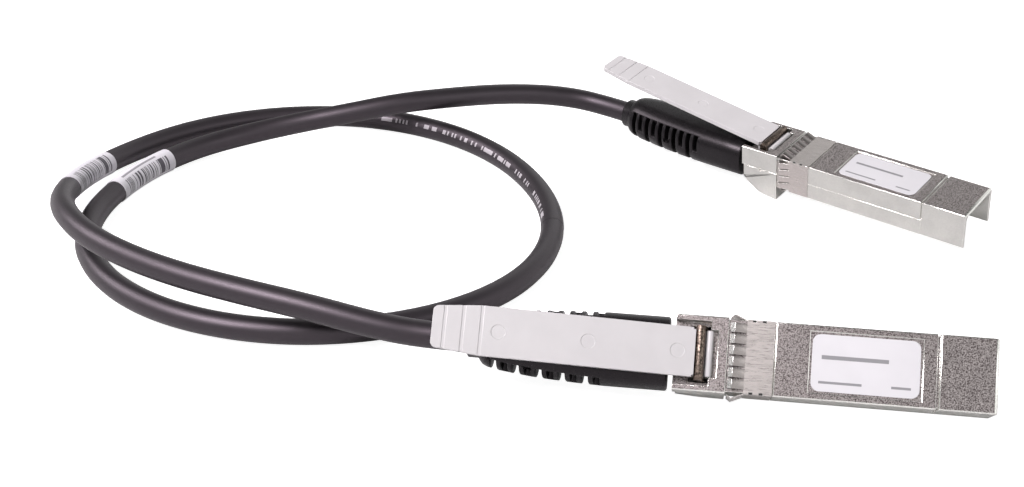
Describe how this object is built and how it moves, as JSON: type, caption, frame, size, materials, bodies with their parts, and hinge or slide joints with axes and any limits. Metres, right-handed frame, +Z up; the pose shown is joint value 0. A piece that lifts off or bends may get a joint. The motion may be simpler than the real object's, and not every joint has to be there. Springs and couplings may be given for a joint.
{
  "type": "direct attach cable",
  "caption": "Short black data cable laid in a loose double loop, with a flat pluggable metal plug, slotted rubber boot and pale pull tab at each end.",
  "frame": {"origin": "on the surface it lies on, under the middle of the box round the two plugs with their boots and tabs", "axes": "+Z up from the surface, +Y away from the viewer of the picture, +X to the right, the side to which both plugs point"},
  "size_m": [0.211, 0.1493, 0.0216],
  "materials": {
    "shell_casting": "satin nickel plate over a fine-grained die casting",
    "finger_sheet": "bright nickel plated spring sheet, brushed round the band",
    "label_film": "matt white paper film",
    "circuit_board": "green solder mask",
    "gold_contacts": "gold plated",
    "chip_body": "moulded black package",
    "pair_foil": "foil wrapped wire pair",
    "ferrule_metal": "tin plated crimp",
    "latch_steel": "nickel plated stamped steel",
    "screw_steel": "zinc plated",
    "boot_rubber": "soft black moulding, fine satin grain",
    "tab_plastic": "pale warm grey moulding",
    "jacket": "black satin jacket",
    "wrap_film": "white wrap-round film"
  },
  "bodies": {
    "cable": {"near_upper_shell": "shell_casting", "near_lower_shell": "shell_casting", "near_finger_collar": "finger_sheet", "near_label": "label_film", "near_circuit_card": "circuit_board", "near_contact_pads": "gold_contacts", "near_card_parts": "chip_body", "near_wire_pairs": "pair_foil", "near_crimp_ferrule": "ferrule_metal", "near_rocker_pins": "latch_steel", "near_latch_spring": "latch_steel", "near_shell_screws": "screw_steel", "near_boot": "boot_rubber", "far_upper_shell": "shell_casting", "far_lower_shell": "shell_casting", "far_finger_collar": "finger_sheet", "far_label": "label_film", "far_circuit_card": "circuit_board", "far_contact_pads": "gold_contacts", "far_card_parts": "chip_body", "far_wire_pairs": "pair_foil", "far_crimp_ferrule": "ferrule_metal", "far_rocker_pins": "latch_steel", "far_latch_spring": "latch_steel", "far_shell_screws": "screw_steel", "far_boot": "boot_rubber", "cable_jacket": "jacket", "first_wrap_label": "wrap_film", "second_wrap_label": "wrap_film"},
    "near_latch": {"near_latch_rocker": "latch_steel"},
    "near_tab": {"near_pull_tab": "tab_plastic"},
    "far_latch": {"far_latch_rocker": "latch_steel"},
    "far_tab": {"far_pull_tab": "tab_plastic"}
  },
  "joints": [
    {"name": "near_latch_rock", "type": "hinge", "parent": "cable", "child": "near_latch", "pos_m": [-0.01146, -0.05749, 0.00972], "axis": [-0.0468, -0.6008, -0.798], "range_deg": [0, 5.5], "stiffness_Nm_per_rad": 0.05, "springref_deg": -2.86},
    {"name": "near_tab_swing", "type": "hinge", "parent": "near_latch", "child": "near_tab", "pos_m": [-0.01251, -0.06146, 0.01277], "axis": [0.0468, 0.6008, 0.798], "range_deg": [-5.2, 69]},
    {"name": "far_latch_rock", "type": "hinge", "parent": "cable", "child": "far_latch", "pos_m": [0.0155, 0.04135, 0.00846], "axis": [-0.6037, -0.7753, -0.1857], "range_deg": [0, 5.5], "stiffness_Nm_per_rad": 0.05, "springref_deg": -2.86},
    {"name": "far_tab_swing", "type": "hinge", "parent": "far_latch", "child": "far_tab", "pos_m": [0.01457, 0.04088, 0.01347], "axis": [0.6037, 0.7753, 0.1857], "range_deg": [-3.2, 71]}
  ]
}
